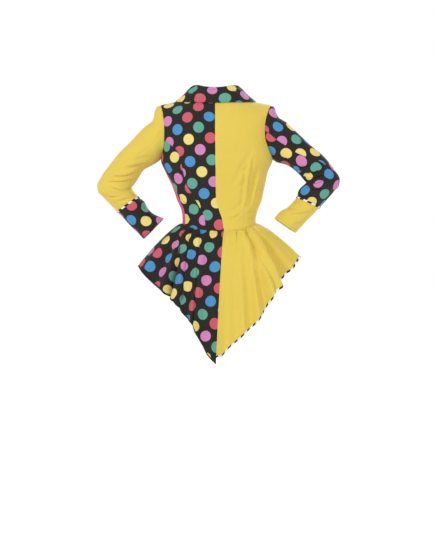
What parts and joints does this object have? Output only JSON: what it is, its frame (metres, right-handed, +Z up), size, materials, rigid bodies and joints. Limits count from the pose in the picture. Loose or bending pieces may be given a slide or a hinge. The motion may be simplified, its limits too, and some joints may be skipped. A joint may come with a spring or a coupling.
{
  "type": "clown jacket",
  "caption": "Fitted parti-coloured clown's tail jacket with a gathered peplum falling to a point behind, fold-over collar and bent sleeves, hollow as worn.",
  "frame": {"origin": "on the shoulder line midway between the two armholes, where the wearer's shoulders carry the jacket", "axes": "+Z up, -Y towards the back of the jacket, +Y towards its front, -X towards the wearer's left sleeve"},
  "size_m": [0.8078, 0.3883, 0.9251],
  "materials": {
    "dotted_cloth": "black plain-woven cotton with printed many-coloured dots, matt",
    "yellow_cloth": "yellow plain-woven cotton, matt with a slight sheen",
    "pink_cloth": "pink plain-woven cotton, matt with a slight sheen",
    "check_piping": "folded strip of black and white checked cotton",
    "black_edging": "folded strip of plain black cotton",
    "button": "black sew-through button, half-gloss"
  },
  "bodies": {
    "root": {"back_left": "dotted_cloth", "side_back_left": "dotted_cloth", "lapel_left": "dotted_cloth", "lapel_right": "dotted_cloth", "collar": "dotted_cloth", "sleeve_right_top": "dotted_cloth", "sleeve_right_under": "dotted_cloth", "cuff_left": "dotted_cloth", "peplum_back_left": "dotted_cloth", "back_right": "yellow_cloth", "side_back_right": "yellow_cloth", "front_right": "yellow_cloth", "sleeve_left_top": "yellow_cloth", "sleeve_left_under": "yellow_cloth", "cuff_right": "yellow_cloth", "peplum_back_right": "yellow_cloth", "peplum_front_right": "yellow_cloth", "front_left": "pink_cloth", "peplum_front_left": "pink_cloth", "cuff_piping_left": "check_piping", "cuff_piping_right": "check_piping", "hem_piping_right": "check_piping", "hem_piping_left": "black_edging", "button_1": "button", "button_2": "button", "button_3": "button"}
  },
  "joints": []
}
